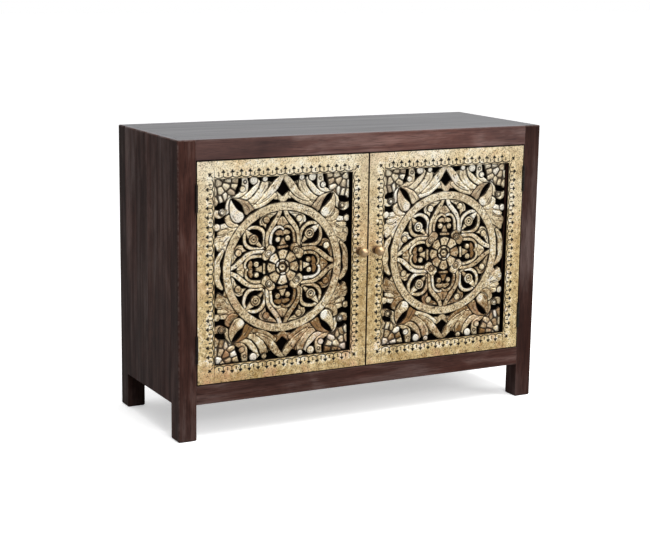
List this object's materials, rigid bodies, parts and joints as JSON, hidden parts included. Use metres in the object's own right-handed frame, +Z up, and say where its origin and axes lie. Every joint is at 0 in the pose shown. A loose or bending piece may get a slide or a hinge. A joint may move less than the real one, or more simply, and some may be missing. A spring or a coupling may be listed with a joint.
{
  "type": "two-door carved cabinet",
  "caption": "Low wooden cabinet on square posts, with hinged gold-finished doors that hold pierced, carved medallion panels.",
  "frame": {"origin": "on the floor, under the middle of the box that holds the cabinet and its knobs", "axes": "+X to the right along the front, +Y from the front to the back, +Z up"},
  "size_m": [1.05, 0.436, 0.75],
  "materials": {
    "dark_wood": "dark stained and waxed hardwood, satin",
    "inner_wood": "dark stained boards, matt",
    "gold_frame": "gold leaf finish over wood, stamped and rubbed",
    "gold_carving": "antique gold finish over carved wood, dark patina in the grooves",
    "black_backing": "black stained board, matt",
    "brass": "aged brass, satin",
    "black_iron": "blackened iron, satin",
    "screw_steel": "dull zinc",
    "magnet": "bare magnet steel",
    "catch_plastic": "dark brown plastic"
  },
  "bodies": {
    "cabinet": {"front_left_post": "dark_wood", "front_right_post": "dark_wood", "back_left_post": "dark_wood", "back_right_post": "dark_wood", "top_front_rail": "dark_wood", "bottom_front_rail": "dark_wood", "top_back_rail": "dark_wood", "bottom_back_rail": "dark_wood", "left_side_boards": "dark_wood", "right_side_boards": "dark_wood", "top_panel": "dark_wood", "floor_panel": "inner_wood", "back_panel": "inner_wood", "shelf": "inner_wood", "top_door_stop": "inner_wood", "bottom_door_stop": "inner_wood", "left_upper_side_rail": "inner_wood", "left_lower_side_rail": "inner_wood", "right_upper_side_rail": "inner_wood", "right_lower_side_rail": "inner_wood", "left_shelf_cleat": "inner_wood", "right_shelf_cleat": "inner_wood", "catch_housing": "catch_plastic", "catch_magnets": "magnet", "left_lower_hinge_post_leaf": "black_iron", "left_upper_hinge_post_leaf": "black_iron", "left_hinge_pins": "black_iron", "right_lower_hinge_post_leaf": "black_iron", "right_upper_hinge_post_leaf": "black_iron", "right_hinge_pins": "black_iron", "post_hinge_screws": "screw_steel", "case_screws": "screw_steel"},
    "left_door": {"left_door_hinge_stile": "gold_frame", "left_door_lock_stile": "gold_frame", "left_door_top_rail": "gold_frame", "left_door_bottom_rail": "gold_frame", "left_door_backing_board": "black_backing", "left_door_carved_panel": "gold_carving", "left_lower_hinge_door_leaf": "black_iron", "left_upper_hinge_door_leaf": "black_iron", "left_door_strike_plate": "screw_steel", "left_door_screws": "screw_steel", "left_knob": "brass", "left_knob_rose": "brass", "left_knob_screw": "screw_steel"},
    "right_door": {"right_door_hinge_stile": "gold_frame", "right_door_lock_stile": "gold_frame", "right_door_top_rail": "gold_frame", "right_door_bottom_rail": "gold_frame", "right_door_backing_board": "black_backing", "right_door_carved_panel": "gold_carving", "right_lower_hinge_door_leaf": "black_iron", "right_upper_hinge_door_leaf": "black_iron", "right_door_strike_plate": "screw_steel", "right_door_screws": "screw_steel", "right_knob": "brass", "right_knob_rose": "brass", "right_knob_screw": "screw_steel"}
  },
  "joints": [
    {"name": "left_door_hinge", "type": "hinge", "parent": "cabinet", "child": "left_door", "pos_m": [-0.476, -0.183, 0.42], "axis": [0, 0, -1], "range_deg": [0, 170]},
    {"name": "right_door_hinge", "type": "hinge", "parent": "cabinet", "child": "right_door", "pos_m": [0.476, -0.183, 0.42], "axis": [0, 0, 1], "range_deg": [0, 170]}
  ]
}
